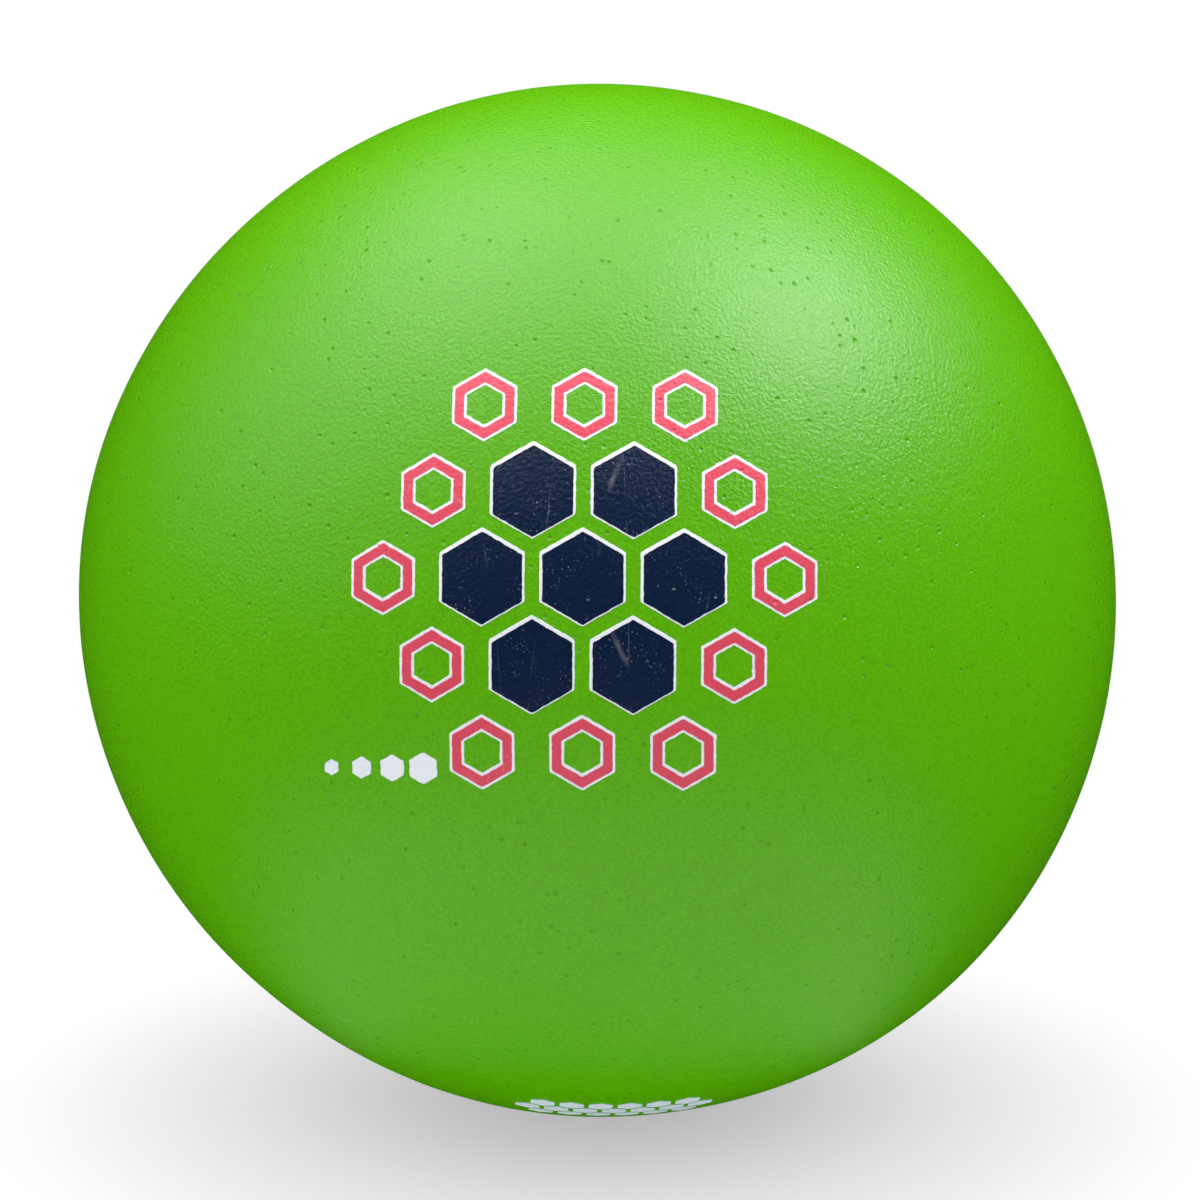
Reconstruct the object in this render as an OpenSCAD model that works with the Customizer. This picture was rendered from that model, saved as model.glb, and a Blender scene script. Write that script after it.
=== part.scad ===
// Coated foam dodgeball: a soft foam core, a seal coat and a dyed skin, with films of ink printed on it.
// Millimetres, +Z up, the front print faces -Y, and the origin is the centre of the ball.

/* [Ball] */
// Diameter over the dyed skin
ball_d = 178; // [150:1:220]
// Thickness of the dyed skin
skin_t = 0.35; // [0.2:0.05:0.8]
// Thickness of the coat that fills the open cells of the foam
seal_t = 0.2; // [0.1:0.05:0.5]

/* [Ink] */
// Thickness of one film of ink
ink_t = 0.05; // [0.03:0.01:0.12]
// Width of the white line that shows round each coloured hexagon
keyline_w = 0.4; // [0.3:0.05:1]

/* [Front print] */
// Angle of the print's centre above the ball's equator
front_lift_angle = 12; // [-30:1:30]
// Distance between the centres of neighbouring hexagons
front_pitch = 15; // [14:0.5:18]
// Size of a navy hexagon across its flats
navy_across = 12; // [8:0.1:12.6]
// Size of a red hexagon across its outer flats
red_across = 9; // [7:0.1:11]
// Width of the red line that each red hexagon is drawn with
red_line_w = 1.4; // [1:0.1:2.2]

/* [Side mark] */
// Space between the front print and the first dot
side_gap = 2; // [1:0.5:6]
// How far the row of dots lies below the front print's lowest row
side_drop = 2.5; // [0:0.5:6]
// Distance between the centres of neighbouring dots
side_pitch = 4.8; // [4.4:0.1:6]
// Size of the largest dot across its flats
side_across = 4.2; // [3:0.1:4.4]

/* [Under mark] */
// Angle of the mark's centre round from the front
under_turn_angle = 5; // [-60:1:60]
// Angle of the mark's centre below the ball's equator
under_drop_angle = 63; // [30:1:70]
// Distance between the centres of neighbouring hexagons
under_pitch = 4.8; // [4.2:0.1:6]
// Size of a hexagon across its flats
under_across = 4; // [2.5:0.1:4.2]
// Hexagons in the middle row of the three
under_count = 7; // [3:1:9]

/* [Hidden] */
round_sides = 240;
hex_sides = 6;
// Sizes of the side mark's dots, from the front print outwards
side_dot_shares = [1, 0.86, 0.7, 0.52];
// Rings of hexagons round the middle one: the first is navy like the middle, the second red
navy_ring = 1;
red_ring = 2;
// How far the printing plate's outline runs out past the ink
overrun = 2;

ball_r = ball_d / 2;
seal_r = ball_r - skin_t;
core_r = seal_r - seal_t;
plate_reach = ball_r + overrun;
row_share = sin(360 / hex_sides);
front_row_y = -red_ring * front_pitch * row_share;
front_row_x = -red_ring * front_pitch / 2;
side_start_x = front_row_x - red_across / 2 - keyline_w - side_gap - side_across / 2;

// A step of length 1 towards one of a hexagon's six neighbours
function neighbour(side) = [cos(side * 360 / hex_sides), sin(side * 360 / hex_sides)];

// The centres of the hexagons in one ring round the middle one
function ring_places(ring) = ring == 0 ? [[0, 0]] : [
    for (side = [0 : hex_sides - 1], step = [0 : ring - 1])
        front_pitch * (ring * neighbour(side) + step * neighbour(side + 2))
];

navy_places = concat(ring_places(0), ring_places(navy_ring));
red_places = ring_places(red_ring);

// A coat of the given thickness inside a ball of the given radius
module coat(outer_r, thickness) {
    difference() {
        sphere(r = outer_r, $fn = round_sides);
        sphere(r = outer_r - thickness, $fn = round_sides);
    }
}

// A film of ink with its children's outline, pressed on at a turn round from the front and a lift up from the
// equator. Its first coat lies on the skin and each further one on the coat below.
module print(turn_angle, lift_angle, coats_below = 0) {
    intersection() {
        coat(ball_r + (coats_below + 1) * ink_t, ink_t);
        rotate([90 - lift_angle, 0, turn_angle]) linear_extrude(height = plate_reach) children();
    }
}

// A hexagon with upright sides, sized across its flats
module hexagon(across) {
    rotate(180 / hex_sides) circle(d = across / cos(180 / hex_sides), $fn = hex_sides);
}

// A hexagon drawn with a line, sized across its outer flats
module open_hexagon(across, line_w) {
    difference() {
        hexagon(across);
        hexagon(across - 2 * line_w);
    }
}

module foam_core() {
    color("#efe6c8") sphere(r = core_r, $fn = round_sides);
}

module seal_coat() {
    color("#dfe3a0") coat(seal_r, seal_t);
}

module skin() {
    color("#52aa0a") coat(ball_r, skin_t);
}

// The white under the coloured hexagons, wider than they are by the keyline
module print_white() {
    color("#eef2f7") print(0, front_lift_angle) {
        for (place = navy_places)
            translate(place) hexagon(navy_across + 2 * keyline_w);
        for (place = red_places)
            translate(place) open_hexagon(red_across + 2 * keyline_w, red_line_w + 2 * keyline_w);
    }
}

module print_navy() {
    color("#14223d") print(0, front_lift_angle, 1) {
        for (place = navy_places)
            translate(place) hexagon(navy_across);
    }
}

module print_red() {
    color("#cc4055") print(0, front_lift_angle, 1) {
        for (place = red_places)
            translate(place) open_hexagon(red_across, red_line_w);
    }
}

// A row of dots that runs left from the front print's lowest row and fades out
module side_mark() {
    color("#eef2f7") print(0, front_lift_angle) {
        for (i = [0 : len(side_dot_shares) - 1])
            translate([side_start_x - i * side_pitch, front_row_y - side_drop])
                hexagon(side_across * side_dot_shares[i]);
    }
}

// Three rows of hexagons, the outer two one hexagon shorter
module under_mark() {
    color("#eef2f7") print(under_turn_angle, -under_drop_angle) {
        for (row = [-1 : 1], i = [0 : under_count - 1 - abs(row)])
            translate(under_pitch * [i - (under_count - 1 - abs(row)) / 2, row * row_share])
                hexagon(under_across);
    }
}

foam_core();
seal_coat();
skin();
print_white();
print_navy();
print_red();
side_mark();
under_mark();
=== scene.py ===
import math

import bpy
import numpy as np
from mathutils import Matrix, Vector, noise


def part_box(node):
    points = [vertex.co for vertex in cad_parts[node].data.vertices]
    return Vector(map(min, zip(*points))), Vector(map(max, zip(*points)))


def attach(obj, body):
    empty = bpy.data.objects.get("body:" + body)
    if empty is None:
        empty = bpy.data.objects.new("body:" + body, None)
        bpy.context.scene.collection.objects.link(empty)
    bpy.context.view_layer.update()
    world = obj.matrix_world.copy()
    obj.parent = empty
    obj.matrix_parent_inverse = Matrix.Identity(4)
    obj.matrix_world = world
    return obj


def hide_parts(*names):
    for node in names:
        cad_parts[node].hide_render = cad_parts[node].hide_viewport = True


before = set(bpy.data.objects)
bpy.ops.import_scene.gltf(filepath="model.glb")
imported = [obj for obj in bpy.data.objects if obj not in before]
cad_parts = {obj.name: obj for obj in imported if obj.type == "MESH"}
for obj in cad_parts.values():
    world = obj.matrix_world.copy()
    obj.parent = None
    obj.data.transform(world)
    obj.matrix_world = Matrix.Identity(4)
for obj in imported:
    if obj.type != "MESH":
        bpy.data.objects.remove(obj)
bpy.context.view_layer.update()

# The frame is in metres. Lengths are written in millimetres, where no comment says otherwise, and angles in
# degrees.
mm = 0.001
scene = bpy.context.scene
scene.view_settings.view_transform = "Standard"

# Camera
# A long studio lens looks at the ball's centre from a little above and a little to the right of its front.
# How wide the ball's outline is in the photograph's frame sets how far off the camera stands.
ball_low, ball_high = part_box("skin")
ball_radius = (ball_high.x - ball_low.x) / 2
ball_centre = (ball_low + ball_high) / 2
lens_length = 100
film_width = 36
frame_width_px = 1200
outline_width_px = 1035
camera_turn = 1.7
camera_lift = 9.8


def towards(turn, lift):
    """The direction that is turn degrees round to the right from the front, and lift degrees above level."""
    turn, lift = math.radians(turn), math.radians(lift)
    return Vector((math.sin(turn) * math.cos(lift), -math.cos(turn) * math.cos(lift), math.sin(lift)))


outline_half_angle = math.atan(outline_width_px / frame_width_px * film_width / lens_length / 2)
camera_distance = ball_radius / math.sin(outline_half_angle)
camera_data = bpy.data.cameras.new("studio_camera")
camera_data.lens = lens_length
camera_data.sensor_width = film_width
camera = bpy.data.objects.new("studio_camera", camera_data)
camera.location = ball_centre + camera_distance * towards(camera_turn, camera_lift)
camera.rotation_euler = (ball_centre - camera.location).to_track_quat("-Z", "Y").to_euler()
scene.collection.objects.link(camera)
scene.camera = camera

# Foam core
# The ball of soft, open-cell polyurethane foam that gives the ball its size and bounce. It is foamed in a
# round mould and shrinks a little as it cools, so it is not quite round, and the coats over it follow that.
core_low, core_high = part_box("foam_core")
core_depth = ball_radius - (core_high.x - core_low.x) / 2
core_grid_cells = 150
foam_colour = "#efe6c8"
# The pores' colour is painted shade.
pore_shade_colour = "#cdbd8c"
foam_roughness = 0.95
foam_index = 1.45
pore_width = 1.2
pore_depth = 0.15
# The foam's ribs stand out between its cells.
rib_spacing = 2.5
rib_height = 0.04
shrink = 0.2 * mm
# Where the ball's outline swells or dips: the angle round it as seen from the front, anticlockwise from the
# right, how far it stands out, and how many degrees it spreads
swells = [(172, 0.95 * mm, 20), (-127, -0.85 * mm, 15), (-47, 0.95 * mm, 19)]
# Softer unevenness all over: the distance from one rise to the next, and how high it rises
waves = [(60 * mm, 0.12 * mm), (21 * mm, 0.05 * mm), (6 * mm, 0.018 * mm)]


def linear(colour):
    """An sRGB hex colour as the linear colour that the shaders take."""
    parts = [int(colour[i : i + 2], 16) / 255 for i in (1, 3, 5)]
    return [p / 12.92 if p <= 0.04045 else ((p + 0.055) / 1.055) ** 2.4 for p in parts] + [1]


def add_node(tree, kind, inputs=(), links=(), **settings):
    """Adds a node. inputs holds values and links other nodes' sockets, each by the input that it goes to."""
    node = tree.nodes.new(kind)
    for setting, value in settings.items():
        setattr(node, setting, value)
    for socket, value in dict(inputs).items():
        node.inputs[socket].default_value = value
    for socket, source in dict(links).items():
        tree.links.new(source, node.inputs[socket])
    return node


# A Mix node's colour sockets share their names with its number sockets, so they are taken by their places.
mix_factor, mix_a, mix_b, mix_result = 0, 6, 7, 2
# Faces that meet at more than this many degrees keep a crisp edge.
sharp_angle = 35


def new_material(name):
    """A node material with nothing in it yet, and its tree."""
    material = bpy.data.materials.new(name)
    material.use_nodes = True
    material.node_tree.nodes.clear()
    return material, material.node_tree


def ball_surface(directions):
    """How far the skin's face lies from the ball's centre in each direction."""
    distance = np.full(len(directions), ball_radius - shrink)
    for angle, height, spread in swells:
        middle = np.array([math.cos(math.radians(angle)), 0, math.sin(math.radians(angle))])
        away = np.degrees(np.arccos(np.clip(directions @ middle, -1, 1)))
        distance += height * np.exp(-((away / spread) ** 2) / 2)
    for spacing, height in waves:
        points = directions * (ball_radius / spacing)
        distance += height * np.array([noise.noise(Vector(point)) for point in points])
    return distance


def wrapped_grid(cells):
    """A square grid wrapped round a ball, all its cells of one area: directions, faces and UVs.

    The middle of the grid faces the front, and its four corners meet at the back.
    """
    line = np.linspace(-1, 1, cells + 1)
    across, up = (part.ravel() for part in np.meshgrid(line, line))
    ahead = 1 - np.abs(across) - np.abs(up)
    reach = 1 - np.abs(ahead)
    # Reach is nothing at the grid's middle and at its corners, where any turn will do.
    least_reach = 1e-9
    turn = math.pi / 4 * ((np.abs(up) - np.abs(across)) / np.maximum(reach, least_reach) + 1)
    off_axis = reach * np.sqrt(2 - reach**2)
    x = np.copysign(off_axis * np.cos(turn), across)
    y = -np.copysign(1 - reach**2, ahead)
    z = np.copysign(off_axis * np.sin(turn), up)
    # The two halves of each edge of the grid meet, so their points become one.
    count = np.arange(cells + 1)
    column, row = (part.ravel() for part in np.meshgrid(count, count))
    column = np.where((row == 0) | (row == cells), np.minimum(column, cells - column), column)
    row = np.where((column == 0) | (column == cells), np.minimum(row, cells - row), row)
    used, place = np.unique(row * (cells + 1) + column, return_inverse=True)
    # Each cell is cut along the diagonal that keeps to the folds between the front and the back half.
    a = (count[:-1, None] * (cells + 1) + count[:-1]).ravel()
    b, c, d = a + 1, a + cells + 2, a + cells + 1
    alike = (across[a] + across[b]) * (up[a] + up[d]) > 0
    first_halves = np.where(alike, [a, b, d], [a, b, c]).T
    second_halves = np.where(alike, [b, c, d], [a, c, d]).T
    faces = np.concatenate([first_halves, second_halves])
    uvs = np.stack([across, up], axis=1)[faces.ravel()] / 2 + 0.5
    return np.stack([x, y, z], axis=1)[used], place[faces], uvs


def add_piece(name, points, faces, material, node, uvs=None):
    """Makes a smooth mesh that stands for a CAD node."""
    mesh = bpy.data.meshes.new(name)
    mesh.from_pydata(list(points), [], list(faces))
    if uvs is not None:
        mesh.uv_layers.new(name="OFBake").data.foreach_set("uv", uvs.ravel())
    mesh.polygons.foreach_set("use_smooth", [True] * len(mesh.polygons))
    mesh.set_sharp_from_angle(angle=math.radians(sharp_angle))
    mesh.materials.append(material)
    piece = bpy.data.objects.new(name, mesh)
    scene.collection.objects.link(piece)
    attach(piece, "root")
    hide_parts(node)
    return piece


# Open-cell foam is a matt, cream sponge: its pores are small dimples between paler ribs, painted darker as
# painted shade down in the dimples.
foam, tree = new_material("open_cell_polyurethane_foam")
place = add_node(tree, "ShaderNodeTexCoord").outputs["Object"]
pores = add_node(
    tree, "ShaderNodeTexVoronoi", {"Scale": 1 / (pore_width * mm)}, {"Vector": place}, feature="SMOOTH_F1"
).outputs["Distance"]
# Painted shade: the colour darkens towards the middle of each pore.
colour = add_node(
    tree,
    "ShaderNodeMix",
    {mix_a: linear(pore_shade_colour), mix_b: linear(foam_colour)},
    {mix_factor: pores},
    data_type="RGBA",
)
bump = add_node(tree, "ShaderNodeBump", {"Distance": pore_depth * mm}, {"Height": pores})
foam_surface = add_node(
    tree,
    "ShaderNodeBsdfPrincipled",
    {"Roughness": foam_roughness, "IOR": foam_index},
    {"Base Color": colour.outputs[mix_result], "Normal": bump.outputs["Normal"]},
)
add_node(tree, "ShaderNodeOutputMaterial", links={"Surface": foam_surface.outputs["BSDF"]})

directions, faces, uvs = wrapped_grid(core_grid_cells)
ribs = np.array([noise.noise(Vector(d * ball_radius / (rib_spacing * mm))) for d in directions])
core_points = directions * (ball_surface(directions) - core_depth + (ribs - 1) * rib_height * mm)[:, None]
core = add_piece("foam_core_shaped", core_points, faces, foam, "foam_core", uvs)

# Seal coat
# The coat of clear-cream polyurethane that is brushed on to fill the foam's open cells, so that the skin
# lies smooth. It follows the foam, and sinks in a little over the larger cells.
seal_low, seal_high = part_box("seal_coat")
seal_depth = ball_radius - (seal_high.x - seal_low.x) / 2
seal_grid_cells = 150
seal_colour = "#dfe3a0"
seal_thin_colour = "#e9e2b4"
seal_roughness = 0.45
seal_index = 1.5
# Where the coat has sunk into the foam: from one such place to the next, how many finer sets of them there
# are, and how deep they are
sunk_spacing = 5
sunk_octaves = 3
sunk_depth = 0.1
# The share of the UV square that a coat's outer face takes, and the share that its inner face takes
outer_uv_share = 0.93
inner_uv_share = 0.06


def add_coat(name, outer_cells, inner_cells, outer_depth, inner_depth, material, node):
    """Makes a hollow coat that follows the ball, its two faces at their depths below the skin's face."""
    outer_directions, outer_faces, outer_uvs = wrapped_grid(outer_cells)
    inner_directions, inner_faces, inner_uvs = wrapped_grid(inner_cells)
    outer_points = outer_directions * (ball_surface(outer_directions) - outer_depth)[:, None]
    inner_points = inner_directions * (ball_surface(inner_directions) - inner_depth)[:, None]
    points = np.concatenate([outer_points, inner_points])
    faces = np.concatenate([outer_faces, inner_faces[:, ::-1] + len(outer_points)])
    inner_uvs = inner_uvs.reshape(-1, 3, 2)[:, ::-1].reshape(-1, 2)
    uvs = np.concatenate([outer_uvs * outer_uv_share, 1 - inner_uvs * inner_uv_share])
    return add_piece(name, points, faces, material, node, uvs)


# Cured clear coat over foam is a satin, yellowish film, paler where it has sunk in and lies thin.
seal, tree = new_material("brushed_polyurethane_seal")
place = add_node(tree, "ShaderNodeTexCoord").outputs["Object"]
sunk = add_node(
    tree,
    "ShaderNodeTexNoise",
    {"Scale": 1 / (sunk_spacing * mm), "Detail": sunk_octaves},
    {"Vector": place},
).outputs["Fac"]
colour = add_node(
    tree,
    "ShaderNodeMix",
    {mix_a: linear(seal_colour), mix_b: linear(seal_thin_colour)},
    {mix_factor: sunk},
    data_type="RGBA",
)
bump = add_node(tree, "ShaderNodeBump", {"Distance": sunk_depth * mm}, {"Height": sunk})
seal_surface = add_node(
    tree,
    "ShaderNodeBsdfPrincipled",
    {"Roughness": seal_roughness, "IOR": seal_index},
    {"Base Color": colour.outputs[mix_result], "Normal": bump.outputs["Normal"]},
)
add_node(tree, "ShaderNodeOutputMaterial", links={"Surface": seal_surface.outputs["BSDF"]})
add_coat(
    "seal_coat_shaped", seal_grid_cells, seal_grid_cells, seal_depth, core_depth, seal, "seal_coat"
)

# Skin
# The dyed polyurethane skin, sprayed on in passes until it is about a third of a millimetre thick. It cures
# to a tough satin film that is wrinkled like fine leather, with a small pit wherever a bubble has burst.
skin_outer_cells = 296
skin_inner_cells = 110
skin_pale_colour = "#5db903"
skin_dark_colour = "#53a702"
# The pits' colour is painted shade, a shade darker than the dye.
pit_shade_colour = "#4aa002"
skin_roughness = 0.24
skin_index = 1.5
# The dye lies under a fine grain, which throws light back evenly right to the ball's rim.
skin_diffuse_roughness = 1
# The wrinkles: how wide the widest are, how many finer sets there are, how high each of those is as a share
# of the last, and how deep they all are together
grain_width = 0.65
grain_octaves = 4
grain_fineness = 0.6
grain_depth = 0.205
# The specks in the dye, and the pits
speck_width = 0.5
speck_octaves = 1
pit_spacing = 2.3
pit_width = 1
pit_depth = 0.22
# A bubble of the smallest size or less leaves no pit, and one of the largest leaves the widest. These and
# the specks' limits are shares of their pattern's range.
smallest_bubble = 0.4
largest_bubble = 0.65
darkest_speck = 0.25
palest_speck = 0.75


def skin_relief(tree, grain_share=1):
    """The skin's wrinkles and pits: their height in millimetres, the wrinkles, the pits and the place."""
    place = add_node(tree, "ShaderNodeTexCoord").outputs["Object"]
    wrinkles = add_node(
        tree,
        "ShaderNodeTexNoise",
        {"Scale": 1 / (grain_width * mm), "Detail": grain_octaves, "Roughness": grain_fineness},
        {"Vector": place},
    ).outputs["Fac"]
    # Each cell has one bubble of its own size, and in many the bubble is too small to leave a pit.
    cells = add_node(tree, "ShaderNodeTexVoronoi", {"Scale": 1 / (pit_spacing * mm)}, {"Vector": place})
    size = add_node(
        tree,
        "ShaderNodeMapRange",
        {"From Min": smallest_bubble, "From Max": largest_bubble, "To Max": pit_width / 2 / pit_spacing},
        {"Value": cells.outputs["Color"]},
    ).outputs["Result"]
    pit = add_node(
        tree,
        "ShaderNodeMapRange",
        {"To Min": 1, "To Max": 0},
        {"Value": cells.outputs["Distance"], "From Max": size},
        interpolation_type="SMOOTHSTEP",
    ).outputs["Result"]
    grain = add_node(
        tree, "ShaderNodeMath", {1: grain_depth * grain_share}, {0: wrinkles}, operation="MULTIPLY"
    ).outputs["Value"]
    height = add_node(
        tree, "ShaderNodeMath", {1: -pit_depth}, {0: pit, 2: grain}, operation="MULTIPLY_ADD"
    ).outputs["Value"]
    return height, wrinkles, pit, place


# The skin's dye is deep and even, and its film is satin. The pits are painted a shade darker: painted shade
# down in them.
skin, tree = new_material("sprayed_polyurethane_skin")
height, wrinkles, pit, place = skin_relief(tree)
specks = add_node(
    tree,
    "ShaderNodeTexNoise",
    {"Scale": 1 / (speck_width * mm), "Detail": speck_octaves},
    {"Vector": place},
).outputs["Fac"]
mottle = add_node(
    tree, "ShaderNodeMapRange", {"From Min": darkest_speck, "From Max": palest_speck}, {"Value": specks}
).outputs["Result"]
dye = add_node(
    tree,
    "ShaderNodeMix",
    {mix_a: linear(skin_dark_colour), mix_b: linear(skin_pale_colour)},
    {mix_factor: mottle},
    data_type="RGBA",
)
# Painted shade: the colour darkens towards the middle of each pit.
colour = add_node(
    tree,
    "ShaderNodeMix",
    {mix_b: linear(pit_shade_colour)},
    {mix_factor: pit, mix_a: dye.outputs[mix_result]},
    data_type="RGBA",
)
bump = add_node(tree, "ShaderNodeBump", {"Distance": mm}, {"Height": height})
skin_surface = add_node(
    tree,
    "ShaderNodeBsdfPrincipled",
    {"Roughness": skin_roughness, "IOR": skin_index, "Diffuse Roughness": skin_diffuse_roughness},
    {"Base Color": colour.outputs[mix_result], "Normal": bump.outputs["Normal"]},
)
add_node(tree, "ShaderNodeOutputMaterial", links={"Surface": skin_surface.outputs["BSDF"]})
skin_piece = add_coat(
    "skin_sprayed", skin_outer_cells, skin_inner_cells, 0, seal_depth, skin, "skin"
)

# Front print, white base
# The first ink that the pad lays on the cured skin: seven full hexagons and a ring of twelve open ones. It
# is wider than the colours printed over it, so it shows as a white line round each of them.
hexagon_sides = 6
neighbour_angle = 360 / hexagon_sides
# Rings of hexagons round the middle one: the first is navy like the middle, the second red
navy_ring = 1
red_ring = 2
ink_thickness = 0.05
keyline_width = 0.4
front_lift = 12
front_pitch = 15
navy_across = 12
red_across = 9
red_line_width = 1.4
white_ink_colour = "#d2dfeb"
white_roughness = 0.3
white_bare_share = 0.3
ink_index = 1.5
ink_grain_share = 0.9
# Real pinholes and scratches are finer than these, which are drawn as coarse as they need to be to show.
# The pinholes also stand in for painted glints of the grain's sheen.
pinhole_spacing = 0.6
pinhole_width = 0.13
# The ink starts to wear, or to thin, where its pattern passes the first of two shares of its range, and has
# done so fully at the second.
worn_from = 0.6
worn_to = 0.8
worn_share = 0.06
thin_spacing = 5
thin_octaves = 2
thin_from = 0.43
thin_to = 0.8
scratch_spacing = 13
scratch_width = 0.09
scratch_share = 0.4
# The scratches' cells are this share as wide as they are tall, so that the scratches run upright.
scratch_width_share = 0.12
# Ink spreads a little before it dries, so its corners are round and its edges waver along the grain.
corner_radius = 0.35
corner_steps = 4
side_steps = 14
edge_waver = 0.09
waver_length = 0.7
# The layer of the noise that makes edges waver up and down, away from the films' own layers
upright_layer = 9
# How many rings the faces of a film are made of, and how large the inmost ring of a full one is, as a share
# of its outline
film_rings = 9
full_share = 0.04


def turned(angle):
    """A step of length 1 in the plane of a print, at an angle in degrees from its right."""
    return np.array([math.cos(math.radians(angle)), math.sin(math.radians(angle))])


def ring_places(ring):
    """The centres of the hexagons in one ring round the middle one."""
    return [
        front_pitch * (ring * turned(side * neighbour_angle) + step * turned((side + 2) * neighbour_angle))
        for side in range(hexagon_sides)
        for step in range(ring)
    ]


def hexagon_outline(across):
    """The outline of a hexagon with upright sides and round corners, sized across its flats."""
    half_side_angle = 180 / hexagon_sides
    reach = (across / 2 - corner_radius) / math.cos(math.radians(half_side_angle))
    points = []
    for corner in range(hexagon_sides):
        angle = (2 * corner + 1) * half_side_angle
        bends = angle + np.linspace(-half_side_angle, half_side_angle, corner_steps + 1)
        points += [reach * turned(angle) + corner_radius * turned(bend) for bend in bends]
        side_end = reach * turned(angle + 2 * half_side_angle) + corner_radius * turned(bends[-1])
        side_shares = np.arange(1, side_steps) / side_steps
        points += [points[-1] * (1 - share) + side_end * share for share in side_shares]
    return np.array(points)


def film_faces(count, full):
    """The faces of a film whose top and then whose base are rings of as many points as count."""
    base = film_rings * count
    inmost = base - count
    faces = []
    for step in range(count):
        after = (step + 1) % count
        for ring in range(film_rings - 1):
            a, b = ring * count + step, ring * count + after
            faces.append((a, b, b + count, a + count))
            faces.append((a + base, a + base + count, b + base + count, b + base))
        faces.append((after, step, step + base, after + base))
        if not full:
            faces.append((step + inmost, after + inmost, after + inmost + base, step + inmost + base))
    if full:
        faces.append(tuple(range(inmost, base)))
        faces.append(tuple(range(base + base - 1, base + inmost - 1, -1)))
    return faces


def ink_film(shapes, turn, lift, coats_below, slip=(0, 0)):
    """The points and faces of one film of ink, which follows the skin.

    Each shape has its centre, its size across and the width of its line, or None where it is full.
    """
    out = np.array(towards(turn, lift))
    right = np.array(towards(turn + 90, 0))
    up = np.cross(out, right)
    points, faces = [], []
    for place, across, line_width in shapes:
        outer = hexagon_outline(across)
        full = line_width is None
        inner = outer * (full_share if full else 1 - 2 * line_width / across)
        rings = [outer + (inner - outer) * share for share in np.linspace(0, 1, film_rings)]
        flat = np.concatenate(rings) + place + slip
        waver = [
            [
                noise.noise(Vector((x / waver_length, y / waver_length, layer)))
                for layer in (coats_below, upright_layer)
            ]
            for x, y in flat
        ]
        flat = (flat + edge_waver * np.array(waver)) * mm
        ahead = np.sqrt(ball_radius**2 - (flat**2).sum(axis=1))[:, None]
        directions = (flat[:, :1] * right + flat[:, 1:] * up + ahead * out) / ball_radius
        top = ball_surface(directions) + (coats_below + 1) * ink_thickness * mm
        faces += [[corner + len(points) for corner in face] for face in film_faces(len(outer), full)]
        points += list(directions * top[:, None])
        points += list(directions * (top - ink_thickness * mm)[:, None])
    return points, faces


def ink_material(name, colour, below_colour, roughness, bare_share):
    """Dried ink that follows the skin's grain.

    The coat below shows faintly on the highest wrinkles, in pinholes and along fine upright scratches. The
    pale specks on the wrinkles and in the pinholes are partly wear and partly painted glints of the grain's
    sheen.
    """
    ink, tree = new_material(name)
    height, wrinkles, pit, place = skin_relief(tree, ink_grain_share)
    # Pale wear on the highest wrinkles, partly painted glints on the grain's peaks.
    peak_wear_and_glint = add_node(
        tree,
        "ShaderNodeMapRange",
        {"From Min": worn_from, "From Max": worn_to, "To Max": bare_share * worn_share},
        {"Value": wrinkles},
    ).outputs["Result"]
    thin = add_node(
        tree,
        "ShaderNodeTexNoise",
        {"Scale": 1 / (thin_spacing * mm), "Detail": thin_octaves},
        {"Vector": place},
    ).outputs["Fac"]
    bare = add_node(
        tree,
        "ShaderNodeMapRange",
        {"From Min": thin_from, "From Max": thin_to, "To Max": bare_share},
        {"Value": thin},
    ).outputs["Result"]
    cells = add_node(tree, "ShaderNodeTexVoronoi", {"Scale": 1 / (pinhole_spacing * mm)}, {"Vector": place})
    # Pale pinholes: partly real pinholes, partly painted glints of the grain's sheen.
    pinhole_and_glint = add_node(
        tree,
        "ShaderNodeMapRange",
        {"From Min": pinhole_width / pinhole_spacing, "From Max": pinhole_width / pinhole_spacing / 2},
        {"Value": cells.outputs["Distance"]},
    ).outputs["Result"]
    upright = add_node(tree, "ShaderNodeMapping", {"Scale": (1, 1, scratch_width_share)}, {"Vector": place})
    strokes = add_node(
        tree,
        "ShaderNodeTexVoronoi",
        {"Scale": 1 / (scratch_spacing * mm)},
        {"Vector": upright.outputs["Vector"]},
        feature="DISTANCE_TO_EDGE",
    )
    scratch = add_node(
        tree,
        "ShaderNodeMapRange",
        {"From Min": scratch_width / scratch_spacing, "From Max": 0, "To Max": scratch_share},
        {"Value": strokes.outputs["Distance"]},
    ).outputs["Result"]
    marks = add_node(tree, "ShaderNodeMath", links={0: pinhole_and_glint, 1: scratch}, operation="MAXIMUM")
    marked = marks.outputs["Value"]
    holes = add_node(tree, "ShaderNodeMath", links={0: marked, 1: bare}, operation="MULTIPLY")
    uncovered = add_node(tree, "ShaderNodeMath", links={0: holes.outputs["Value"], 1: peak_wear_and_glint})
    shown = add_node(
        tree,
        "ShaderNodeMix",
        {mix_a: linear(colour), mix_b: linear(below_colour)},
        {mix_factor: uncovered.outputs["Value"]},
        data_type="RGBA",
    ).outputs[mix_result]
    bump = add_node(tree, "ShaderNodeBump", {"Distance": mm}, {"Height": height})
    ink_surface = add_node(
        tree,
        "ShaderNodeBsdfPrincipled",
        {"Roughness": roughness, "IOR": ink_index},
        {"Base Color": shown, "Normal": bump.outputs["Normal"]},
    )
    add_node(tree, "ShaderNodeOutputMaterial", links={"Surface": ink_surface.outputs["BSDF"]})
    return ink


navy_places = [np.zeros(2)] + ring_places(navy_ring)
red_places = ring_places(red_ring)

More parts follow.
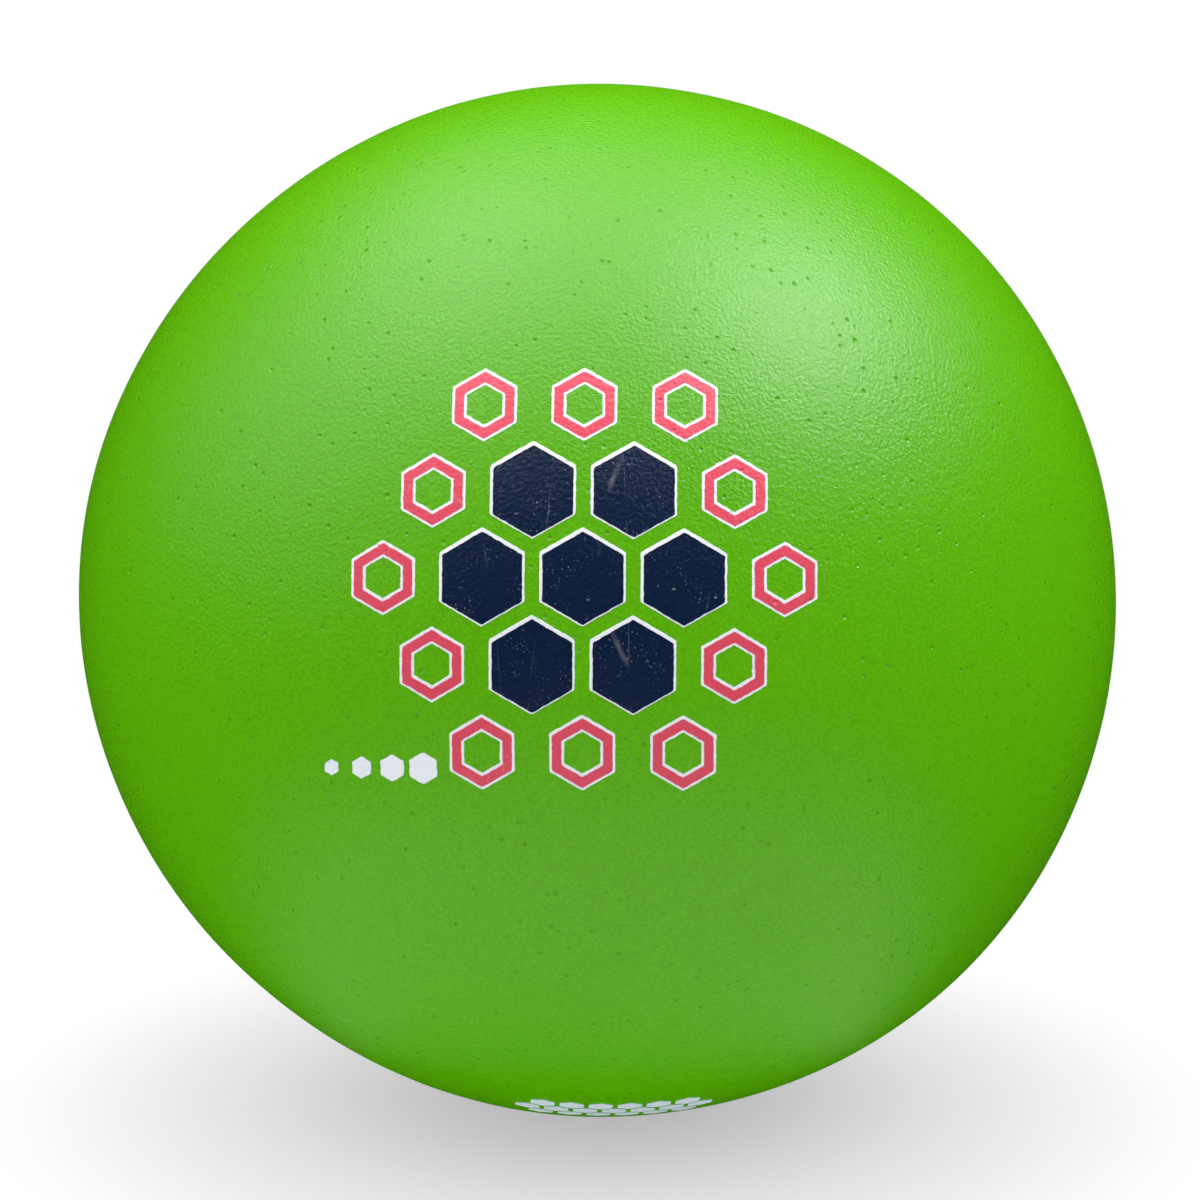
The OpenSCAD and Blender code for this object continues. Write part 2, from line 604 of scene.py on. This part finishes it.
white_ink = ink_material(
    "white_pad_printing_ink", white_ink_colour, skin_pale_colour, white_roughness, white_bare_share
)
white_navy_across = navy_across + 2 * keyline_width
white_red_across = red_across + 2 * keyline_width
white_shapes = [(place, white_navy_across, None) for place in navy_places]
white_shapes += [(place, white_red_across, red_line_width + 2 * keyline_width) for place in red_places]
points, faces = ink_film(white_shapes, 0, front_lift, 0)
add_piece("print_white_inked", points, faces, white_ink, "print_white")

# Front print, navy
# The second ink, a navy one, pressed on the dried white in register with it and a hair low. It dries to a
# satin film so dark that the pinholes and scratches in it show pale, and the pale pinholes stand in for
# painted glints of the grain's sheen too.
navy_colour = "#081a38"
navy_roughness = 0.24
navy_bare_share = 0.35
navy_slip = (0.05, -0.2)
navy_ink = ink_material(
    "navy_pad_printing_ink", navy_colour, white_ink_colour, navy_roughness, navy_bare_share
)
points, faces = ink_film([(p, navy_across, None) for p in navy_places], 0, front_lift, 1, navy_slip)
add_piece("print_navy_inked", points, faces, navy_ink, "print_navy")

# Front print, red
# The third ink, a red one, pressed on the dried white of the outer ring. It dries to a satin film that is a
# little duller than the navy.
red_colour = "#c1445c"
red_roughness = 0.28
red_bare_share = 0.4
red_slip = (0, -0.06)
red_ink = ink_material("red_pad_printing_ink", red_colour, white_ink_colour, red_roughness, red_bare_share)
points, faces = ink_film([(p, red_across, red_line_width) for p in red_places], 0, front_lift, 1, red_slip)
add_piece("print_red_inked", points, faces, red_ink, "print_red")

# Side mark
# A row of dots, low and left of the front print, that shrink as they run away from it. They are of the same
# white ink, pressed on with the front print's white.
side_gap = 2
side_drop = 2.5
side_pitch = 4.8
side_across = 4.2
side_dot_shares = [1, 0.86, 0.7, 0.52]
front_row_x, front_row_y = -red_ring * front_pitch * turned(neighbour_angle)
side_start_x = front_row_x - red_across / 2 - keyline_width - side_gap - side_across / 2
side_shapes = [
    (np.array([side_start_x - i * side_pitch, front_row_y - side_drop]), side_across * share, None)
    for i, share in enumerate(side_dot_shares)
]
points, faces = ink_film(side_shapes, 0, front_lift, 0)
add_piece("side_mark_inked", points, faces, white_ink, "side_mark")

# Under mark
# Three short rows of hexagons, seen edge-on at the bottom of the ball's outline. They are of the same white
# ink, pressed on with a pad of their own.
under_turn = 5
under_drop = 63
under_pitch = 4.8
under_across = 4
under_count = 7
# How far apart the rows are, as a share of the distance between the hexagons in one
row_share = turned(neighbour_angle)[1]
under_shapes = []
for row in (-1, 0, 1):
    row_count = under_count - abs(row)
    for i in range(row_count):
        place = under_pitch * ((i - (row_count - 1) / 2) * turned(0) + row * row_share * turned(90))
        under_shapes.append((place, under_across, None))
points, faces = ink_film(under_shapes, under_turn, -under_drop, 0)
add_piece("under_mark_inked", points, faces, white_ink, "under_mark")

# Studio
# The ball stands on plain white paper, in front of a plain white backdrop and under softboxes. The
# photograph shows no pale rim on it, so the studio round the lamps is dull, and soft light off the walls
# fills the shadows.
# The card's size, and how far ahead of the ball its middle lies
card_size = (290, 236)
card_ahead = 125
card_colour = "#9a9a9a"
# The dark disc under the ball is painted shadow: its radius and colour.
contact_shade_radius = 52
contact_shade_colour = "#101010"
# The floor's radius, in metres
floor_radius = 3
# The painted shadow on the floor: how far it reaches and its darkest tone.
shadow_reach = 70 * mm
shadow_tone = 0.45
# From this share of open sky on, the paper is plain white.
lit_share = 0.8
shadow_samples = 32
disc_sides = 96
floor_height = min(corner[2] for corner in skin_piece.bound_box)
wall_light = 0.25
warm_light_colour = "#ffd2ab"


def add_flat(name, corners, height, material):
    """A flat, level piece of the studio, which isn't part of the ball."""
    mesh = bpy.data.meshes.new(name)
    mesh.from_pydata([(x, y, height) for x, y in corners], [], [tuple(range(len(corners)))])
    mesh.materials.append(material)
    flat = bpy.data.objects.new(name, mesh)
    scene.collection.objects.link(flat)
    return flat


# A pale card in front of the ball throws light back up at it. The camera sees the floor in its place.
card_paint, tree = new_material("matt_pale_paint")
paint = add_node(tree, "ShaderNodeBsdfDiffuse", {"Color": linear(card_colour)})
add_node(tree, "ShaderNodeOutputMaterial", links={"Surface": paint.outputs["BSDF"]})
turns = np.linspace(0, 360, disc_sides, endpoint=False)
card_outline = [(turned(turn) * card_size / 2 - (0, card_ahead)) * mm for turn in turns]
card = add_flat("studio_card", card_outline, floor_height - mm, card_paint)
card.visible_camera = False
card.visible_shadow = False

# A dark disc lies just under the ball where its shadow falls on the floor, so that the floor shows dark in
# the ball's sheen there: painted shadow.
contact_shade_paint, tree = new_material("painted_contact_shade")
contact_shade_surface = add_node(tree, "ShaderNodeBsdfDiffuse", {"Color": linear(contact_shade_colour)})
add_node(tree, "ShaderNodeOutputMaterial", links={"Surface": contact_shade_surface.outputs["BSDF"]})
contact_shade_outline = [contact_shade_radius * mm * turned(turn) for turn in turns]
contact_shade_disc = add_flat("studio_contact_shade", contact_shade_outline, floor_height - mm / 2, contact_shade_paint)
contact_shade_disc.visible_camera = False
contact_shade_disc.visible_shadow = False

# The floor is white paper that glows evenly, with the ball's shadow painted on it where little open sky
# reaches it: painted shadow, not cast by the lamps. From below it is clear. What light it throws back at the
# ball comes from floor_bounce.
floor_paint, tree = new_material("white_paper_with_painted_shadow")
open_sky = add_node(
    tree, "ShaderNodeAmbientOcclusion", {"Distance": shadow_reach}, samples=shadow_samples
).outputs["AO"]
tone = add_node(
    tree, "ShaderNodeMapRange", {"From Max": lit_share, "To Min": shadow_tone}, {"Value": open_sky}
)
paper = add_node(tree, "ShaderNodeEmission", links={"Strength": tone.outputs["Result"]}).outputs["Emission"]
from_below = add_node(tree, "ShaderNodeNewGeometry").outputs["Backfacing"]
clear = add_node(tree, "ShaderNodeBsdfTransparent").outputs["BSDF"]
floor_surface = add_node(tree, "ShaderNodeMixShader", links={0: from_below, 1: paper, 2: clear})
add_node(tree, "ShaderNodeOutputMaterial", links={"Surface": floor_surface.outputs["Shader"]})
floor = add_flat("studio_floor", [floor_radius * turned(turn) for turn in turns], floor_height, floor_paint)
floor.visible_diffuse = False
floor.visible_glossy = False
floor.visible_shadow = False


def add_softbox(name, turn, lift, size, power, colour="#ffffff"):
    """A softbox that faces the ball from a metre away. Its size is in metres and its power in watts."""
    softbox_data = bpy.data.lights.new(name, "AREA")
    softbox_data.shape = "RECTANGLE"
    softbox_data.size, softbox_data.size_y = size
    softbox_data.energy = power
    softbox_data.color = linear(colour)[:3]
    softbox = bpy.data.objects.new(name, softbox_data)
    softbox.location = ball_centre + towards(turn, lift)
    softbox.rotation_euler = (ball_centre - softbox.location).to_track_quat("-Z", "Y").to_euler()
    softbox.visible_camera = False
    scene.collection.objects.link(softbox)
    return softbox


add_softbox("key_softbox", turn=82, lift=54, size=(1, 0.8), power=3.9)
add_softbox("key_softbox_centre", turn=84, lift=53, size=(0.42, 0.36), power=4.7)
add_softbox("left_softbox", turn=-77, lift=38, size=(0.95, 0.9), power=3.5)
add_softbox("upper_left_softbox", turn=-98, lift=68, size=(0.7, 0.5), power=2.5)
add_softbox("overhead_softbox", turn=180, lift=86, size=(1.1, 1.1), power=5.1)
add_softbox("front_top_softbox", turn=10, lift=66, size=(1.4, 0.5), power=2.4)

# Soft light that comes off the walls, the floor and the warm ceiling. It is too even to show as a shine.
# Rays that can't see a bounce would take a share of its light, so it is sampled as a lamp alone.
wall_bounces = [
    add_softbox("ceiling_bounce", turn=0, lift=62, size=(1.6, 1.2), power=10.8, colour=warm_light_colour),
    add_softbox("front_wall_bounce", turn=0, lift=0, size=(1, 1), power=2),
    add_softbox("back_wall_bounce", turn=180, lift=10, size=(1.5, 1), power=8),
    add_softbox("floor_bounce", turn=0, lift=-88, size=(2, 2), power=16.5),
    add_softbox("left_floor_bounce", turn=-40, lift=-45, size=(1, 1), power=1.9),
]
for bounce in wall_bounces:
    bounce.visible_glossy = False
    bounce.data.cycles.use_multiple_importance_sampling = False

# The camera sees the backdrop as white, as it would through glass. To the ball it is a dull grey.
world = bpy.data.worlds.new("studio")
scene.world = world
world.use_nodes = True
world.node_tree.nodes.clear()
tree = world.node_tree
ray = add_node(tree, "ShaderNodeLightPath").outputs
seen = add_node(tree, "ShaderNodeMath", links={0: ray["Is Camera Ray"], 1: ray["Is Transmission Ray"]})
strength = add_node(
    tree, "ShaderNodeMapRange", {"To Min": wall_light, "To Max": 1}, {"Value": seen.outputs["Value"]}
)
backdrop = add_node(
    tree, "ShaderNodeBackground", {"Color": (1, 1, 1, 1)}, {"Strength": strength.outputs["Result"]}
)
add_node(tree, "ShaderNodeOutputWorld", links={"Surface": backdrop.outputs["Background"]})
world.cycles_visibility.glossy = False
